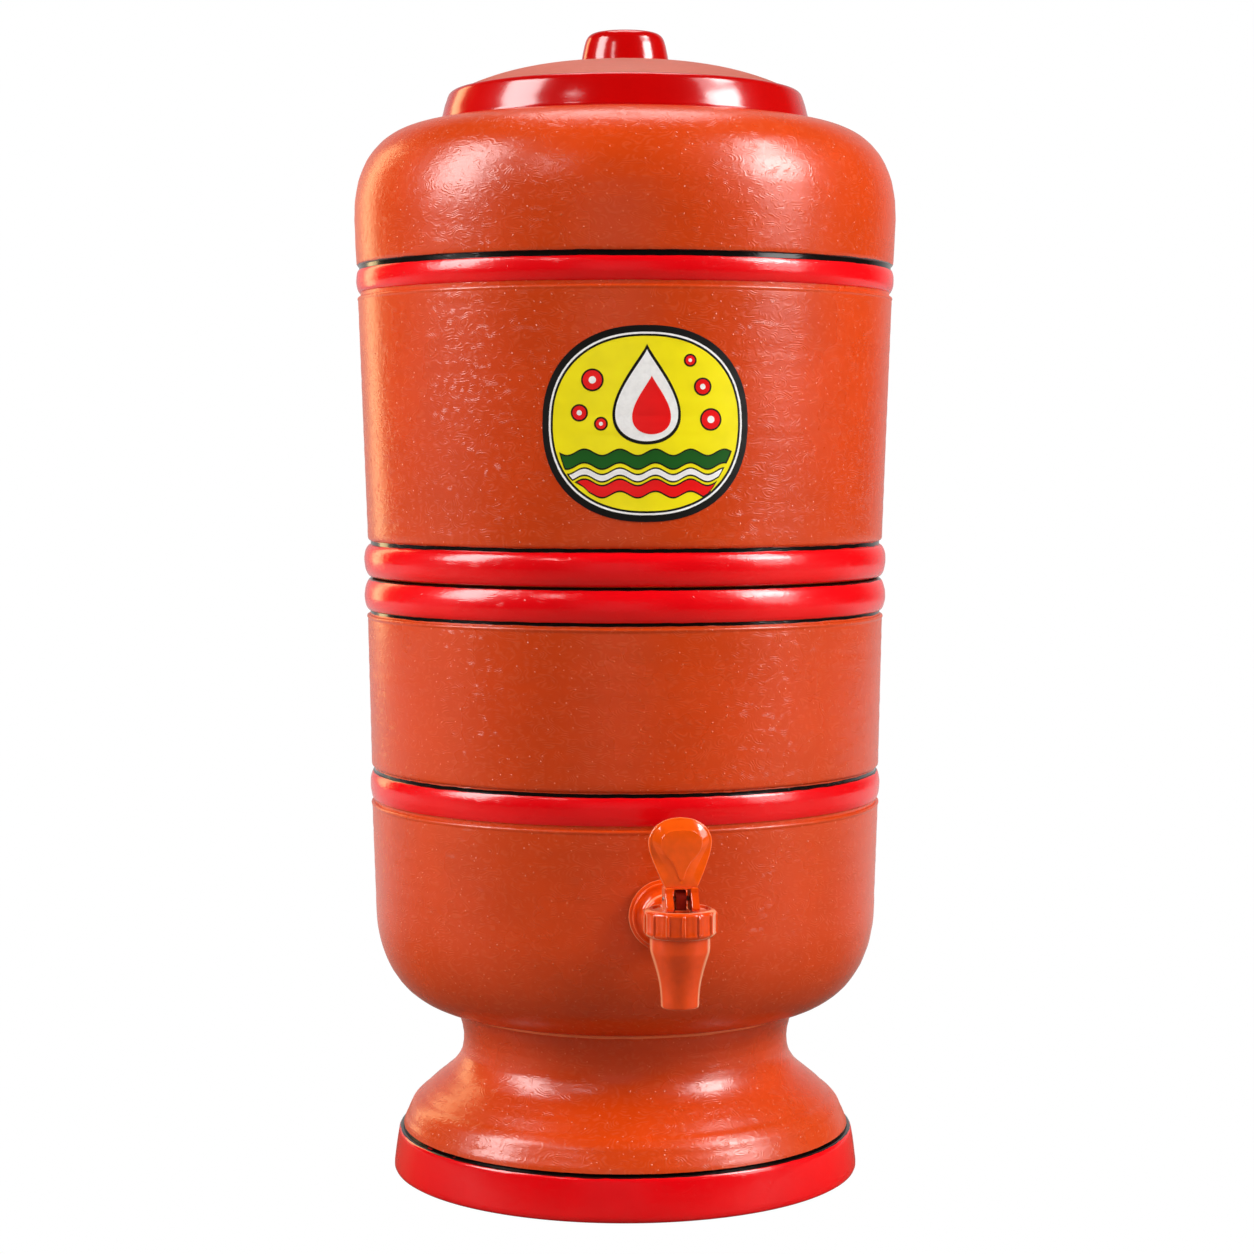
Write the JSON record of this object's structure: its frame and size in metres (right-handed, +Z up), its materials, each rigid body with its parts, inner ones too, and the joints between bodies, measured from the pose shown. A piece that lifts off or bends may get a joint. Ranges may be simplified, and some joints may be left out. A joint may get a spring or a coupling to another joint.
{
  "type": "clay water filter",
  "caption": "Gravity water filter in fired terracotta clay: lid with knob, upper vessel with ceramic candles and float valves, lower vessel with an orange lever tap, and a flared pedestal.",
  "frame": {"origin": "middle of the bounding box in plan, on the plane that the pedestal stands on", "axes": "+Z up along the vessels' common axis; the tap points to -Y; +X is to the right as seen from the tap's side"},
  "size_m": [0.27, 0.3254, 0.5706],
  "materials": {
    "fired_clay": "satin",
    "orange_plastic": "gloss",
    "dark_red_plastic": "satin",
    "white_plastic": "satin",
    "blue_plastic": "satin",
    "white_ceramic": "matte",
    "carbon": "matte",
    "black_rubber": "matte",
    "silicone": "satin",
    "steel": "polished"
  },
  "bodies": {
    "pedestal": {"pedestal": "fired_clay"},
    "lower_vessel": {"lower_vessel": "fired_clay", "tap_body": "orange_plastic", "tap_outer_washer": "black_rubber", "tap_inner_washer": "black_rubber", "tap_back_nut": "orange_plastic", "tap_collar_nut": "orange_plastic"},
    "upper_vessel": {"upper_vessel": "fired_clay", "candle_shell_1": "white_ceramic", "candle_base_1": "white_plastic", "candle_carbon_1": "carbon", "candle_top_washer_1": "black_rubber", "candle_bottom_washer_1": "black_rubber", "candle_wing_nut_1": "white_plastic", "float_bracket_1": "white_plastic", "float_pin_1": "steel", "candle_shell_2": "white_ceramic", "candle_base_2": "white_plastic", "candle_carbon_2": "carbon", "candle_top_washer_2": "black_rubber", "candle_bottom_washer_2": "black_rubber", "candle_wing_nut_2": "white_plastic", "float_bracket_2": "white_plastic", "float_pin_2": "steel"},
    "lid": {"lid": "fired_clay"},
    "tap_valve": {"tap_stem": "dark_red_plastic", "tap_seat_cup": "silicone", "tap_pivot_pin": "steel"},
    "tap_lever": {"tap_lever": "orange_plastic"},
    "float_1": {"float_arm_1": "blue_plastic", "float_pad_1": "black_rubber"},
    "float_2": {"float_arm_2": "blue_plastic", "float_pad_2": "black_rubber"}
  },
  "joints": [
    {"name": "lower_lift", "type": "slide", "parent": "pedestal", "child": "lower_vessel", "axis": [0, 0, 1], "range_m": [0, 0.05]},
    {"name": "upper_lift", "type": "slide", "parent": "lower_vessel", "child": "upper_vessel", "axis": [0, 0, 1], "range_m": [0, 0.12]},
    {"name": "lid_lift", "type": "slide", "parent": "upper_vessel", "child": "lid", "axis": [0, 0, 1], "range_m": [0, 0.06]},
    {"name": "tap_lift", "type": "slide", "parent": "lower_vessel", "child": "tap_valve", "axis": [0, 0, 1], "range_m": [0, 0.00293]},
    {"name": "tap_lever", "type": "hinge", "parent": "tap_valve", "child": "tap_lever", "pos_m": [0, -0.14614, 0.1636], "axis": [1, 0, 0], "range_deg": [0, 35], "stiffness_Nm_per_rad": 0.1, "springref_deg": -2.86},
    {"name": "float_swing_1", "type": "hinge", "parent": "upper_vessel", "child": "float_1", "pos_m": [-0.055, 0.04074, 0.2545], "axis": [-1, 0, 0], "range_deg": [0, 22]},
    {"name": "float_swing_2", "type": "hinge", "parent": "upper_vessel", "child": "float_2", "pos_m": [0.055, 0.01474, 0.2545], "axis": [1, 0, 0], "range_deg": [0, 22]}
  ],
  "couplings": [
    {"joint": "tap_lever", "follows": "tap_lift", "rad_per_m": 208.33}
  ]
}
